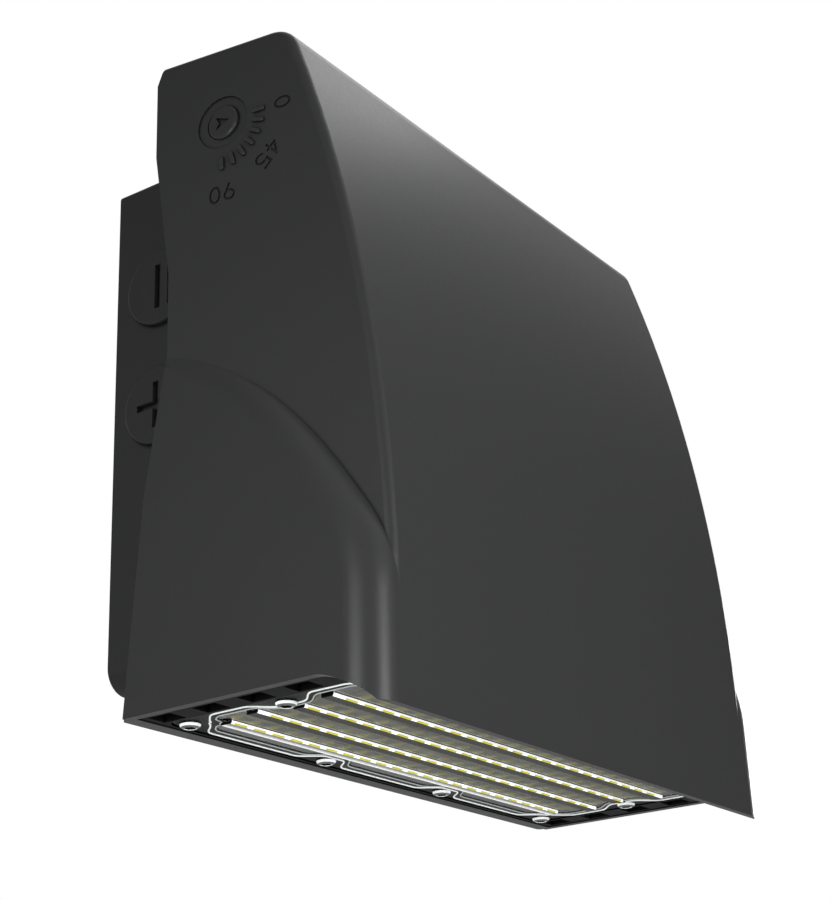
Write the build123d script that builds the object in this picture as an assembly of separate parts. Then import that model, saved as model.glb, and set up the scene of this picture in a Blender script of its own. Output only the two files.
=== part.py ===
from build123d import *
import math
import os

# Adjustable wall pack light. Millimetres, +Z up, the wall is the plane Y = 0,
# the lamp faces -Y, and X = 0 is its plane of symmetry. The origin is the middle
# of the back box on the wall. The head tilts about the X axis through the pivots.

# ---------------------------------------------------------------- back box
BOX_WIDTH = 216.0
BOX_HEIGHT = 176.0
BOX_DEPTH = 35.0
BOX_WALL = 3.0
BOX_TOP_ROUND = 2.0
BOX_BOTTOM_ROUND = 8.0
SEAL = 1.0                  # thickness of the gasket under the box cover
SEAL_WIDTH = 3.0
COVER = 2.0                 # thickness of the box cover
WALL_SEAL = 1.5             # depth of the foam seal let into the back
WALL_SEAL_WIDTH = 5.0
WALL_SEAL_INSET = 7.0

POST = 10.0                 # screw posts inside the box
POST_INSET = 12.0           # posts from the box sides
POST_BORE = 3.4
ARM_POST_DROP = 10.0        # first arm post below the box top
ARM_POST_STEP = 16.0        # second arm post below the first
FOOT_POST_RISE = 12.0       # bottom posts above the box bottom

WIRE_HOLE = 44.0            # wire opening to the junction box
JUNCTION_PITCH = 83.3       # screw pitch of a single-gang or octagon box
JUNCTION_BORE = 4.8
ANCHOR_X = 160.0            # wall anchor pattern
ANCHOR_Z = 120.0
ANCHOR_BORE = 6.5

# ---------------------------------------------------------------- conduit plugs
PLUG_HEAD = 26.9
PLUG_PROUD = 2.2
PLUG_EDGE = 0.6
PLUG_SHANK_LENGTH = 9.0
CONDUIT_BORE = 21.0
PLUG_PLAY = 0.05            # radial play of the plug thread
CONDUIT_BOSS = 30.0
CONDUIT_BOSS_LENGTH = 6.0
PLUG_SETBACK = 20.0         # plug centre from the wall
PLUG_DROP = 42.0            # upper plug centre below the box top
PLUG_STEP = 42.5            # lower plug centre below the upper one
SLOT_LENGTH = 16.0
SLOT_WIDTH = 2.4
SLOT_DEPTH = 2.0
FINGER_AHEAD = 6.0          # finger recess beside the single slot
FINGER_WIDTH = 3.4
FINGER_LENGTH = 17.0

# ---------------------------------------------------------------- tilt axis
AXIS_AHEAD = 14.0           # axis in front of the box cover
AXIS_RISE = 6.0             # axis above the box top

# ---------------------------------------------------------------- head casting
# Positions in the head are measured from the tilt axis: y towards the wall, z up.
WALL = 3.0                  # wall of the casting
EAR_GAP = 3.8               # box side to side plate, level with the axis
EAR_TAPER = 6.5             # degrees, the plates close in towards the front
SKIRT_STEP = 2.7            # lower sides outside the plates at the waist
SKIRT_DRAFT = 0.84          # degrees, the lower sides open out downwards
TOP = 30.2
TOP_SLOPE = 1.4             # degrees, falling towards the front
FRONT = -59.0               # face of the lower front
FRONT_CURVE = 620.0         # radius of the front above the knee
KNEE_RISE = 23.5            # knee of the front above the rim
TOP_FRONT_ROUND = 10.0
EDGE_ROUND = 2.8            # plate edges
CORNER_ROUND = 10.5         # lower front corners and the arched shoulder
BACK_TOP = 23.6             # back edge of the plates, top to bottom
BACK_EAR = 26.5
BACK_WAIST = 20.7
BACK_FOOT = 34.3
EAR_SHOULDER = 23.0
EAR_FOOT = -5.0
WAIST_TOP = -50.0
WAIST = -80.0
FLARE = -126.0
FLARE_BACK = 28.6
UNDER_GAP = 2.5             # box bottom to the top of the light tray
TRAY = 7.0                  # thickness of the light tray at the lens seat
RIM_DROP = 4.0              # rim of the sides below the lens seat
SKIRT_DROP = 9.5            # rim of the front below the rim of the sides
RIM_BEND = -37.0            # where the rim starts to drop to the front
RIM_SAG = 0.3               # share of the drop reached half way
RIM_LEAN = 1.4              # lean of the last stretch inside the front wall
RIM_PROUD = 2.2             # rear rim behind the back edge of the sides
RIM_PROUD_ROUND = 1.8
SKIRT_EDGE = 2.0            # thickness of the front at its bottom edge
ARCH_BACK = -71.5           # shoulder line where it leaves the back edge
ARCH_MID_Y = -22.2
ARCH_MID = -104.2
ARCH_FRONT_Y = -50.0
ARCH_FRONT_RISE = 29.7      # shoulder line above the knee near the front
TOP_WALL_BACK = 0.0         # the top closes over only in front of the axis

PIVOT_PAD = 30.0            # flat pad inside each plate
PIVOT_PAD_IN = 4.8          # pad face inside the plate face
PIVOT_BUSH = 19.2           # bush pressed into the plate
BUSH_SUNK = 0.55            # bush face below the plate face
PIVOT_JOURNAL = 12.3
RUNNING_FIT = 0.08          # radial play of the journal in the bush
CAP_THICK = 2.0
CAP_PROUD = 0.4             # cap face outside the plate face, level with the axis
CAP_EDGE = 0.9
CAP_SHANK = 6.0
CAP_SHANK_LENGTH = 10.0
CAP_BEDDED = 0.1
ARROW_HALF = 2.4
ARROW_TIP = 3.3             # tip of the arrow ahead of the axis
ARROW_TAIL = 2.7
ARROW_NOTCH = 1.2
ARROW_DEPTH = 0.7
WASHER = 1.0
WASHER_OUTER = 27.0
WASHER_PLAY = 0.3

TICK_GAP = 2.4              # bush to the inner end of the first tick mark
TICK_SPREAD = 1.5           # the last tick mark is this much further out
TICK_LENGTH = 4.7
TICK_WIDTH = 1.5
TICK_PROUD = 0.9
TICK_ROOT = 1.0             # tick marks start this far inside the plate
TICK_STEP = 15
NUMBER_GAP = 3.5            # first tick mark to the first number
NUMBER_SPREAD = 3.4         # the last number is this much further out
DIGIT_HEIGHT = 6.3
DIGIT_WIDTH = 4.4
DIGIT_PITCH = 5.6
DIGIT_STROKE = 0.8
DIGIT_LOBE = 0.64           # height of the round part of 5 and 9
FOUR_BAR = 0.35             # crossbar of the 4 below the middle
NUMBER_DEPTH = 0.4          # engraved

# ---------------------------------------------------------------- arms
ARM_GAP = 4.3               # arm to the inside of the plate
ARM_THICK = 4.5
ARM_END = 12.5              # radius round the axis
ARM_BELOW_POST = 10.0
ARM_FOOT = 3.2              # thickness of the foot
ARM_FOOT_WIDTH = 21.5
ARM_SHOULDER = 25.0
ARM_NECK = 8.75             # height and depth of the arm behind the axis

# ---------------------------------------------------------------- head back
REAR_GAP = 6.0              # rear cover to the box cover
REAR_THICK = 2.0
REAR_TOP_GAP = 3.2          # slanted top below the top face
REAR_EDGE_GAP = 0.5         # top edge below the top wall
REAR_ARM_GAP = 5.0          # beside the arms
REAR_SIDE_GAP = 1.8         # beside the plates, below the arms
REAR_NOTCH_DROP = 8.0       # notch reaches below the arms
HEAD_POST = 8.0
HEAD_POST_INSET = 10.0
HEAD_POST_HIGH = -30.0
HEAD_POST_RISE = 19.5       # lower posts above the light tray

# ---------------------------------------------------------------- light engine
TRAY_SIDE_GAP = 0.65
TRAY_FRONT_GAP = 0.8
TRAY_BACK_GAP = 0.5
TRAY_ROUND = 8.0
TRAY_BORDER_GAP = 0.3       # bottom of the tray's border above the rim
BOARD_EDGE = 1.8            # the board stops short of the outer half pitch
BOARD_DROP = 3.5            # board seat below the top of the tray
BOARD_MARGIN = 0.3
BOARD = 1.6
ROW_AHEAD = 0.6             # rows in front of the middle of the tray
ROW_PITCH = 14.1
ROWS = 5
CHIPS_PER_ROW = 21
CHIP_LENGTH = 5.6
CHIP_WIDTH = 3.0
CHIP_THICK = 0.8
REFLECTOR = 2.0
REFLECTOR_SLOT = 8.0
GASKET = 0.8
GASKET_WIDTH = 3.0
GASKET_TAB = 0.4            # gasket round the screw heads
LENS = 2.4
LENS_INSET = 12.0           # lens edge inside the lower sides
LENS_EDGE_Y = 8.5           # lens edge beyond the board
LENS_ROUND = 5.0
LENS_GAP = 0.5              # lens edge to the border of the tray
OPTIC_WIDTH = 4.4
OPTIC_RISE = 1.4
OPTIC_ROUND = 0.5
OPTIC_INSET = 7.0           # ends of the longer optic bars inside the lens edge
OPTIC_SHORT = 4.5           # bars in line with a screw stop short by this
SCREW_INSET_X = 5.5
SCREW_INSET_Y = 4.55
SCREW_COLUMNS = 4
LENS_SCREW = 3.2
LENS_SCREW_BORE = 3.6
LENS_SCREW_HEAD = 6.6
LENS_SCREW_HEAD_THICK = 1.8
LENS_SCREW_TIP_GAP = 1.7
LENS_SCREW_FLOOR = 1.5      # tray left above the screw holes
SCREW_BOSS_WALL = 0.5
BOSS_CLEAR = 1.0            # board and reflector round the screw bosses
POCKET_COUNT = 5
POCKET_PITCH = 17.3
POCKET_LENGTH = 9.0
POCKET_WIDTH = 7.4
POCKET_FLOOR = 2.0          # tray left above the pockets
POCKET_SHIFT = 2.3          # pockets behind the middle of the rows
TRAY_LUG = 9.0
TRAY_LUG_INSET = 5.5        # tray screws inside the ends of the board
TRAY_LUG_RISE = 12.0
TRAY_LUG_WEB = 4.0
TRAY_LUG_CAP = 2.0          # lug left above its screw hole

# ---------------------------------------------------------------- driver
DRIVER_LENGTH = 150.0
DRIVER_HEIGHT = 42.0
DRIVER_DEPTH = 28.0
DRIVER_EDGE = 2.0
DRIVER_FOOT = 12.0
DRIVER_FOOT_THICK = 2.0

# ---------------------------------------------------------------- small parts
BLOCK_LENGTH = 36.0
BLOCK_DEPTH = 15.0
BLOCK_HEIGHT = 18.0
BLOCK_X = -50.0
BLOCK_Z = -50.0
BLOCK_WAYS = 3
BLOCK_WIRE = 5.4            # wire entries from below
BLOCK_SCREW = 6.0           # screw wells in the front
BLOCK_WELL = 4.0
BLOCK_SCREW_RISE = 3.0
GROUND_X = 50.0
GROUND_Z = -55.0
GROUND_HEAD = 8.4
GROMMET_X = 20.0
GROMMET_BORE = 12.0
GROMMET_FLANGE = 16.0
GROMMET_LIP = 1.2
GROMMET_HOLE = 7.0
M4 = 3.9
M4_HEAD = 7.4
M4_HEAD_THICK = 2.4
M4_LENGTH = 12.0
SCREW_CLEAR = 0.4           # plain screw holes over the screw
HEAD_CLEAR = 1.0            # openings round a screw head
HEAD_SUNK = 0.1             # heads of the tray screws above the face of the board
RECESS = 0.55               # depth and width of driver recesses, part of the head
HEAD_CROWN = 0.6            # rounding of a screw head, part of its thickness
TOUCH = 0.02                # play left between parts that bear on each other
FAR = 400.0                 # beyond every face, for cuts

# ---------------------------------------------------------------- worked out
COVER_FACE = -(BOX_DEPTH + SEAL + COVER)
COVER_BACK = COVER_FACE + COVER
AXIS_SETBACK = AXIS_AHEAD - COVER_FACE
AXIS_HEIGHT = BOX_HEIGHT / 2 + AXIS_RISE
FOOT_FACE = AXIS_AHEAD                     # box cover seen from the axis
POST_X = BOX_WIDTH / 2 - POST_INSET
PLUG_SHANK = CONDUIT_BORE - 2 * PLUG_PLAY
PLUG_UPPER = BOX_HEIGHT / 2 - PLUG_DROP
PLUG_LOWER = PLUG_UPPER - PLUG_STEP

EAR_X = BOX_WIDTH / 2 + EAR_GAP + WALL
SKIRT_X = EAR_X + SKIRT_STEP
TRAY_TOP = -(BOX_HEIGHT + AXIS_RISE + UNDER_GAP)
TRAY_BOTTOM = TRAY_TOP - TRAY
RIM = TRAY_BOTTOM - RIM_DROP
SKIRT = RIM - SKIRT_DROP
KNEE = RIM + KNEE_RISE
ARCH_FRONT = KNEE + ARCH_FRONT_RISE

PIVOT_PAD_FACE = EAR_X - PIVOT_PAD_IN
JOURNAL_FACE = EAR_X + CAP_PROUD - CAP_THICK
TICK_RING = (PIVOT_BUSH + TICK_LENGTH) / 2 + TICK_GAP
NUMBER_RING = TICK_RING + (TICK_LENGTH + DIGIT_HEIGHT) / 2 + NUMBER_GAP
ARM_FACE = EAR_X - WALL - ARM_GAP
ARM_INNER = ARM_FACE - ARM_THICK
ARM_LOW = -(AXIS_RISE + ARM_POST_DROP + ARM_POST_STEP + ARM_BELOW_POST)

REAR_FACE = AXIS_AHEAD - REAR_GAP
REAR_BACK = REAR_FACE - REAR_THICK         # side of the cover towards the driver
REAR_TOP = TOP - REAR_TOP_GAP
REAR_HALF = ARM_INNER - REAR_ARM_GAP
REAR_HALF_LOW = EAR_X - WALL - REAR_SIDE_GAP
REAR_NOTCH = ARM_LOW - REAR_NOTCH_DROP
HEAD_POST_X = REAR_HALF - HEAD_POST_INSET
HEAD_POST_LOW = TRAY_TOP + HEAD_POST_RISE
DRIVER_Z = (HEAD_POST_HIGH + HEAD_POST_LOW) / 2

SKIRT_OPENING = (WAIST - TRAY_TOP) * math.tan(math.radians(SKIRT_DRAFT))
TRAY_HALF = SKIRT_X - WALL + SKIRT_OPENING - TRAY_SIDE_GAP
TRAY_FRONT = FRONT + WALL + TRAY_FRONT_GAP
TRAY_BACK = BACK_FOOT - WALL - TRAY_BACK_GAP
TRAY_BORDER = RIM + TRAY_BORDER_GAP
ROW_MID = (TRAY_FRONT + TRAY_BACK) / 2 - ROW_AHEAD
BOARD_FLOOR = TRAY_TOP - BOARD_DROP
BOARD_HALF_Y = ROW_PITCH * ROWS / 2 - BOARD_EDGE
LENS_HALF_X = SKIRT_X - LENS_INSET
LENS_HALF_Y = BOARD_HALF_Y + LENS_EDGE_Y
LENS_TOP = TRAY_BOTTOM - GASKET
LENS_FACE = LENS_TOP - LENS
SCREW_X = LENS_HALF_X - SCREW_INSET_X
SCREW_Y = LENS_HALF_Y - SCREW_INSET_Y
LENS_SCREW_LENGTH = LENS + GASKET + TRAY - LENS_SCREW_FLOOR - LENS_SCREW_TIP_GAP
SCREW_BOSS = LENS_SCREW_HEAD + 2 * SCREW_BOSS_WALL
BOARD_HALF_X = SCREW_X + SCREW_BOSS_WALL
OPTIC_HALF_X = LENS_HALF_X - OPTIC_INSET
CHIP_PITCH = 2 * (OPTIC_HALF_X - OPTIC_SHORT) / CHIPS_PER_ROW
POCKET_X = (LENS_HALF_X + LENS_GAP + TRAY_HALF) / 2
TRAY_LUG_X = BOARD_HALF_X - TRAY_LUG_INSET
TRAY_LUG_Y = ROW_MID - ROW_PITCH * (ROWS / 2 - 1)
TRAY_SCREW_SEAT = BOARD_FLOOR - BOARD + M4_HEAD_THICK + HEAD_SUNK


def on_axis(shape):
    """Move a shape drawn about the tilt axis to its place."""
    return Pos(0, -AXIS_SETBACK, AXIS_HEIGHT) * shape


def slab(x, y, z):
    """A block from three (low, high) pairs."""
    size = [x[1] - x[0], y[1] - y[0], z[1] - z[0]]
    mid = [(x[1] + x[0]) / 2, (y[1] + y[0]) / 2, (z[1] + z[0]) / 2]
    return Pos(*mid) * Box(*size)


def rod_x(diameter, x_from, x_to, y, z):
    mid = (x_from + x_to) / 2
    return Pos(mid, y, z) * Rot(0, 90, 0) * Cylinder(diameter / 2, abs(x_to - x_from))


def rod_y(diameter, y_from, y_to, x, z):
    mid = (y_from + y_to) / 2
    return Pos(x, mid, z) * Rot(90, 0, 0) * Cylinder(diameter / 2, abs(y_to - y_from))


def rod_z(diameter, z_from, z_to, x, y):
    mid = (z_from + z_to) / 2
    return Pos(x, y, mid) * Cylinder(diameter / 2, abs(z_to - z_from))


def side_sweep(outline, half):
    """Extrude a closed side outline (y, z) to both sides of X = 0."""
    face = Plane.YZ * make_face(outline)
    return extrude(face, half, both=True)


def mirrored(shape):
    return mirror(shape, about=Plane.YZ)


def joined(shapes):
    whole = shapes[0]
    for shape in shapes[1:]:
        whole = whole + shape
    return whole


def grouped(shapes):
    """Keep separate solids together in one node."""
    solids = []
    for shape in shapes:
        solids.extend(shape.solids())
    return Compound(children=solids)


def front_y(z, inset):
    """Front of the casting at height z: an arc above the knee, plain below."""
    radius = FRONT_CURVE - inset
    rise = max(z - KNEE, 0)
    return FRONT + inset + radius - math.sqrt(radius ** 2 - rise ** 2)


def top_z(y, inset):
    return TOP - inset - (BACK_TOP - y) * math.tan(math.radians(TOP_SLOPE))


def plate_wedge(inset):
    """Everything between the outer faces of the two tapered side plates."""
    slope = math.tan(math.radians(EAR_TAPER))
    half_back = EAR_X - inset + FAR * slope
    half_front = EAR_X - inset - FAR * slope
    outline = Polyline(
        (half_back, FAR), (half_front, -FAR), (-half_front, -FAR), (-half_back, FAR), close=True
    )
    return extrude(make_face(outline), FAR, both=True)


def skirt_wedge(inset):
    """Everything between the outer faces of the two drafted lower sides."""
    slope = math.tan(math.radians(SKIRT_DRAFT))
    half_low = SKIRT_X - inset + (WAIST + FAR) * slope
    half_high = SKIRT_X - inset + (WAIST - FAR) * slope
    outline = Polyline(
        (half_low, -FAR), (half_high, FAR), (-half_high, FAR), (-half_low, -FAR), close=True
    )
    return extrude(Plane.XZ * make_face(outline), FAR, both=True)


def upper_body(inset, back):
    """Plates, top and upper front; back shifts the open side of the cavity."""
    corner_z = top_z(front_y(TOP, inset), inset)
    corner = (front_y(corner_z, inset), corner_z)
    mid_z = (KNEE + corner_z) / 2
    ear = [
        (BACK_TOP + back, top_z(BACK_TOP, inset)),
        (BACK_EAR + back, EAR_SHOULDER),
        (BACK_EAR + back, EAR_FOOT),
        (BACK_WAIST + back, WAIST_TOP),
        (BACK_WAIST + back, KNEE),
        (FRONT + inset, KNEE),
    ]
    sides = [Line(a, b) for a, b in zip(ear, ear[1:])]
    front = ThreePointArc(ear[-1], (front_y(mid_z, inset), mid_z), corner)
    top = Line(corner, ear[0])
    body = side_sweep(Curve() + sides + [front, top], FAR / 2) & plate_wedge(inset)
    nose = body.edges().filter_by(Axis.X).sort_by_distance((0, corner[0], corner[1]))[0]
    body = fillet(nose, TOP_FRONT_ROUND - inset)
    if inset == 0:
        edges = []
        for edge in body.edges():
            box = edge.bounding_box()
            thin = box.size.X < FAR / 10
            ahead = box.max.Y < BACK_TOP + TOUCH and box.min.Z > KNEE - TOUCH
            bottom = box.max.Z < WAIST_TOP and box.size.Y > BACK_WAIST
            if thin and ahead and not bottom and box.min.Y < 0:
                edges.append(edge)
        body = fillet(edges, EDGE_ROUND)
    return body


def lower_body(inset, back, drop):
    """Lower sides and front under the arched shoulder."""
    start = (BACK_WAIST + back, ARCH_BACK - inset)
    shoulder = Spline(
        [
            start,
            (ARCH_MID_Y + inset / 2, ARCH_MID - inset / 2),
            (ARCH_FRONT_Y + inset, ARCH_FRONT - inset / 2),
            (FRONT + inset, KNEE),
        ],
        tangents=[(-1.0, -0.62), (0.0, -1.0)],
    )
    base = [
        (FRONT + inset, KNEE),
        (FRONT + inset, SKIRT - drop),
        (BACK_FOOT + back, SKIRT - drop),
        (BACK_FOOT + back, RIM),
        (FLARE_BACK + back, FLARE),
        (BACK_WAIST + back, WAIST),
        start,
    ]
    lines = [Line(a, b) for a, b in zip(base, base[1:])]
    body = side_sweep(Curve() + [shoulder] + lines, FAR / 2) & skirt_wedge(inset)
    edges = []
    for edge in body.edges():
        box = edge.bounding_box()
        side = box.size.X < FAR / 10 and box.min.Y < BACK_FOOT / 2
        if side and box.size.Z > 2 * CORNER_ROUND:
            edges.append(edge)
    return fillet(edges, CORNER_ROUND - inset)


def rim_cut():
    """Clears the casting below the rim; the front skirt hangs lower."""
    inner = FRONT + SKIRT_EDGE
    start = (RIM_BEND, RIM)
    half_way = ((RIM_BEND + inner) / 2, RIM - SKIRT_DROP * RIM_SAG)
    near = (inner + RIM_LEAN, SKIRT + RIM_LEAN)
    last = (inner - RIM_LEAN, SKIRT - 2 * RIM_LEAN)
    curve = Spline([start, half_way, near, last], tangents=[(-1.0, 0.0), (-0.5, -1.0)])
    edge = [last, (FAR, SKIRT - 2 * RIM_LEAN), (FAR, RIM), start]
    lines = [Line(a, b) for a, b in zip(edge, edge[1:])]
    return side_sweep(Curve() + [curve] + lines, FAR / 2)


def plate_face_frame(side):
    """Plane on the outer face of a side plate, level with the axis."""
    slope = math.radians(EAR_TAPER)
    normal = (side * math.cos(slope), -math.sin(slope), 0)
    along = (math.sin(slope) * side, math.cos(slope), 0)
    return Plane(origin=(side * EAR_X, 0, 0), x_dir=along, z_dir=normal)


def on_plate(side, angle, ring):
    """Location on the plate face; angle 0 points forward and 90 points down."""
    frame = plate_face_frame(side)
    turn = math.radians(angle)
    forward = -ring * math.cos(turn)
    down = -ring * math.sin(turn)
    up_sign = frame.y_dir.Z
    spin = math.degrees(math.atan2(down * up_sign, forward))
    return frame * Pos(forward, down * up_sign, 0) * Rot(0, 0, spin)


def tick_marks(side):
    """Raised marks; their ring widens a little from 0 to 90 degrees."""
    marks = []
    for angle in range(0, 91, TICK_STEP):
        bar = Box(TICK_LENGTH, TICK_WIDTH, TICK_ROOT + TICK_PROUD)
        bar = fillet(bar.edges().filter_by(Axis.Z), TICK_WIDTH / 2 - TOUCH)
        bar = fillet(bar.faces().sort_by(Axis.Z)[-1].edges(), TICK_PROUD / 3)
        lift = (TICK_PROUD - TICK_ROOT) / 2
        ring = TICK_RING + TICK_SPREAD * angle / 90
        marks.append(on_plate(side, angle, ring) * Pos(0, 0, lift) * bar)
    return marks


def stroke(start, end):
    """Straight stroke of a digit with square ends."""
    run = (end[0] - start[0], end[1] - start[1])
    length = math.hypot(*run)
    mid = ((start[0] + end[0]) / 2, (start[1] + end[1]) / 2)
    turn = math.degrees(math.atan2(run[1], run[0]))
    return Pos(*mid) * Rot(0, 0, turn) * Rectangle(length, DIGIT_STROKE)


def oval(half_x, half_y):
    return Ellipse(half_x, half_y) - Ellipse(half_x - DIGIT_STROKE, half_y - DIGIT_STROKE)


def digit(name):
    """One plain digit, upright and centred."""
    w = DIGIT_WIDTH / 2
    h = DIGIT_HEIGHT / 2
    half = DIGIT_STROKE / 2
    if name == "0":
        return oval(w, h)
    if name == "4":
        bar = -h * FOUR_BAR
        stem = w * FOUR_BAR
        slant = stroke((-w + half, bar), (stem, h - half))
        return slant + stroke((-w, bar), (w, bar)) + stroke((stem, -h), (stem, h))
    lobe = h * DIGIT_LOBE
    if name == "5":
        bowl = Pos(0, lobe - h) * oval(w, lobe)
        bowl = bowl - Pos(-w, lobe - h + half) * Rectangle(2 * w - half, lobe)
        back = stroke((-w + half, h), (-w + half, 0))
        return bowl + back + stroke((-w, h - half), (w - half, h - half))
    tail = stroke((w - half, h - lobe), (0, -h))
    return Pos(0, h - lobe) * oval(w, lobe) + tail


def scale_numbers(side):
    """Cutters for the engraved numbers of the scale."""
    numbers = []
    for angle in (0, 45, 90):
        name = str(angle)
        ring = NUMBER_RING + NUMBER_SPREAD * angle / 90
        for i, char in enumerate(name):
            shift = (i - (len(name) - 1) / 2) * DIGIT_PITCH
            face = Rot(0, 0, -90) * Pos(shift, 0) * digit(char)
            mark = extrude(face, 2 * NUMBER_DEPTH)
            numbers.append(on_plate(side, angle, ring) * Pos(0, 0, -NUMBER_DEPTH) * mark)
    return numbers


def post_places():
    return [(x, z) for x in (-HEAD_POST_X, HEAD_POST_X) for z in (HEAD_POST_HIGH, HEAD_POST_LOW)]


def tray_lug(side):
    """Lug inside a lower side that the light tray is screwed up to."""
    x = side * TRAY_LUG_X
    low = TRAY_TOP + TOUCH
    high = TRAY_TOP + TRAY_LUG_RISE
    lug = rod_z(TRAY_LUG, low, high, x, TRAY_LUG_Y)
    web = slab(
        sorted((x, side * (SKIRT_X + SKIRT_OPENING - WALL / 2))),
        (TRAY_LUG_Y - TRAY_LUG_WEB / 2, TRAY_LUG_Y + TRAY_LUG_WEB / 2),
        (low, high),
    )
    return lug + web - rod_z(POST_BORE, TRAY_TOP, high - TRAY_LUG_CAP, x, TRAY_LUG_Y)


def rear_rim():
    """Low wall behind the light tray, between the lower sides."""
    outline = [
        (BACK_FOOT + RIM_PROUD, RIM),
        (BACK_FOOT - WALL, RIM),
        (BACK_FOOT - WALL - TRAY_BACK_GAP / 2, TRAY_TOP),
        (BACK_FOOT - TRAY_BACK_GAP / 2, TRAY_TOP),
        (BACK_FOOT + RIM_PROUD, RIM),
    ]
    wall = side_sweep(Curve() + [Line(a, b) for a, b in zip(outline, outline[1:])], SKIRT_X)
    ends = []
    for edge in wall.edges():
        box = edge.bounding_box()
        if box.size.X < TOUCH and box.max.Y > BACK_FOOT + TOUCH and box.size.Z > WALL:
            ends.append(edge)
    return fillet(ends, RIM_PROUD_ROUND)


def head_shell():
    outside = upper_body(0, 0) + lower_body(0, 0, 0)
    cavity = upper_body(WALL, FAR / 4) + lower_body(WALL, FAR / 4, FAR / 10)
    shell = outside - cavity - rim_cut()
    top_gap = slab((-FAR, FAR), (TOP_WALL_BACK, FAR), (0, FAR)) & plate_wedge(WALL)
    shell = shell - top_gap
    shell = shell + rear_rim()
    posts = []
    for x, z in post_places():
        posts.append(rod_y(HEAD_POST, front_y(z, WALL / 2), REAR_BACK - TOUCH, x, z))
    shell = joined([shell] + posts)
    for x, z in post_places():
        shell = shell - rod_y(POST_BORE, REAR_BACK - M4_LENGTH, REAR_FACE, x, z)
    for side in (-1, 1):
        pad = rod_x(PIVOT_PAD, side * PIVOT_PAD_FACE, side * (EAR_X - WALL / 2), 0, 0)
        pad = pad & plate_wedge(WALL / 2)
        bore = rod_x(PIVOT_BUSH + 2 * TOUCH, side * ARM_INNER, side * FAR, 0, 0)
        shell = joined([shell, pad, tray_lug(side)] + tick_marks(side)) - bore
        for number in scale_numbers(side):
            shell = shell - number
    return on_axis(shell)


def pivot_bush(side):
    """Bush pressed into a side plate, its outer face parallel to the plate."""
    bush = rod_x(PIVOT_BUSH, side * PIVOT_PAD_FACE, side * FAR, 0, 0) & plate_wedge(BUSH_SUNK)
    return on_axis(bush - rod_x(PIVOT_JOURNAL + 2 * RUNNING_FIT, 0, side * FAR, 0, 0))


def rear_cover():
    plate = slab((-REAR_HALF, REAR_HALF), (REAR_BACK, REAR_FACE), (REAR_NOTCH, 0))
    low = slab(
        (-REAR_HALF_LOW, REAR_HALF_LOW), (REAR_BACK, REAR_FACE), (TRAY_TOP + TOUCH, REAR_NOTCH)
    )
    lean = [
        (REAR_FACE, 0),
        (REAR_BACK, 0),
        (-REAR_THICK, REAR_TOP),
        (0, REAR_TOP),
        (REAR_FACE, 0),
    ]
    top = side_sweep(Curve() + [Line(a, b) for a, b in zip(lean, lean[1:])], REAR_HALF)
    below_top = slab((-FAR, FAR), (-FAR, FAR), (-FAR, top_z(0, WALL) - REAR_EDGE_GAP))
    cover = (plate + low + top) & below_top
    for x, z in post_places():
        cover = cover - rod_y(M4 + SCREW_CLEAR, -FAR, FAR, x, z)
    cover = cover - rod_y(GROMMET_BORE, -FAR, FAR, GROMMET_X, HEAD_POST_HIGH)
    return on_axis(cover)


def pan_screw(size, head, head_thick, length):
    """Round-head screw along +Z: shank below zero, head above, cross recess."""
    shank = Pos(0, 0, -length / 2) * Cylinder(size / 2, length)
    top = Pos(0, 0, head_thick / 2) * Cylinder(head / 2, head_thick)
    top = fillet(top.faces().sort_by(Axis.Z)[-1].edges(), head_thick * HEAD_CROWN)
    width = head * RECESS / 2
    for turn in (0, 90):
        slot = Box(head * RECESS, width / 2, head_thick * RECESS * 2)
        top = top - Pos(0, 0, head_thick) * Rot(0, 0, turn) * slot
    return shank + top


def rear_cover_screws():
    screws = []
    for x, z in post_places():
        screw = pan_screw(POST_BORE - TOUCH, M4_HEAD, M4_HEAD_THICK, M4_LENGTH)
        screws.append(Pos(x, REAR_FACE, z) * Rot(-90, 0, 0) * screw)
    return on_axis(grouped(screws))


def grommet(y_from, y_to):
    """Rubber grommet through a plate between two faces, wire hole left open."""
    thick = y_to - y_from
    body = Cylinder(GROMMET_BORE / 2 - TOUCH, thick)
    for side in (-1, 1):
        lift = side * (thick + GROMMET_LIP) / 2
        body = body + Pos(0, 0, lift) * Cylinder(GROMMET_FLANGE / 2, GROMMET_LIP)
    body = body - Cylinder(GROMMET_HOLE / 2, FAR)
    return Pos(GROMMET_X, (y_from + y_to) / 2, 0) * Rot(90, 0, 0) * body


def head_grommet():
    return on_axis(Pos(0, 0, HEAD_POST_HIGH) * grommet(REAR_BACK, REAR_FACE))


def box_grommet():
    return Pos(0, 0, AXIS_HEIGHT + HEAD_POST_HIGH) * grommet(COVER_FACE, COVER_BACK)


def row_positions():
    return [ROW_MID + ROW_PITCH * (i - (ROWS - 1) / 2) for i in range(ROWS)]


def lens_screw_places():
    places = []
    for i in range(SCREW_COLUMNS):
        x = SCREW_X * (2 * i / (SCREW_COLUMNS - 1) - 1)
        places.append((x, ROW_MID + SCREW_Y))
        places.append((x, ROW_MID - SCREW_Y))
    places.append((-SCREW_X, ROW_MID))
    places.append((SCREW_X, ROW_MID))
    return places


def lens_seat():
    """Recess in the bottom of the tray that the lens lies in, open to the front."""
    recess = extrude(Pos(0, 0, TRAY_BORDER) * lens_outline(-LENS_GAP), TRAY_BOTTOM - TRAY_BORDER)
    half = LENS_HALF_X + LENS_GAP
    return recess + slab((-half, half), (-FAR, ROW_MID), (TRAY_BORDER, TRAY_BOTTOM))


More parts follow.
